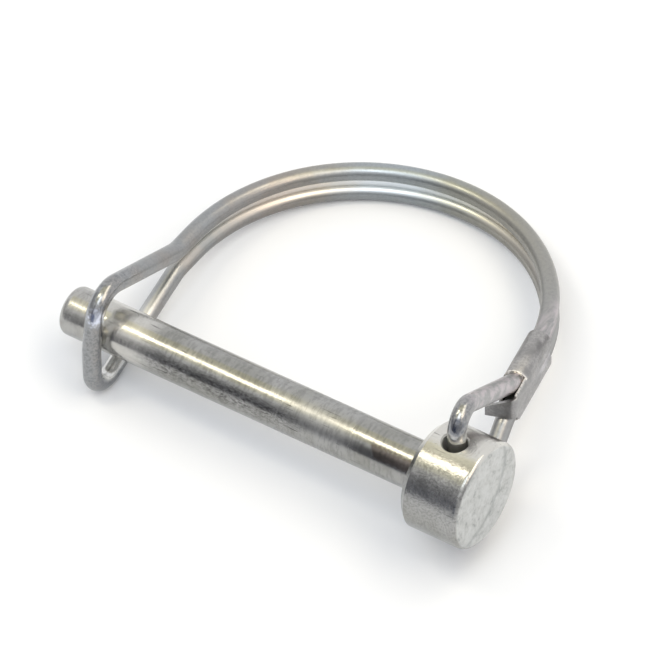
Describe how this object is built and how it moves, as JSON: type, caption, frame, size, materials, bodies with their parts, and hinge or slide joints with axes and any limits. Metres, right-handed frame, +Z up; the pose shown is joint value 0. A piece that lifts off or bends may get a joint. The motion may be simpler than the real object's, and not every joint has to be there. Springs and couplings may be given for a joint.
{
  "type": "wire lock pin",
  "caption": "Turned steel pin with a drilled round head and a sprung wire bail whose loop closes round the tip.",
  "frame": {"origin": "on the pin's axis at the head's shoulder", "axes": "+Z up from the table that the pin lies on; the pin runs along X with its head towards +X and raised by 3.9 degrees; the bail reaches towards +Y, 9 degrees down"},
  "size_m": [0.0956, 0.0789, 0.0352],
  "materials": {
    "turned_steel": "turned and zinc plated, with tool marks and scuffs",
    "wire_steel": "drawn wire, zinc plated, satin",
    "sheet_steel": "pressed sheet, dull zinc plate"
  },
  "bodies": {
    "pin": {"pin": "turned_steel"},
    "bail": {"wire_bail": "wire_steel", "ferrule": "sheet_steel"}
  },
  "joints": [
    {"name": "bail_hinge", "type": "hinge", "parent": "pin", "child": "bail", "pos_m": [0.00589, 0.00049, 0.00032], "axis": [-0.0672, 0.1564, 0.9854], "range_deg": [0, 6]}
  ]
}
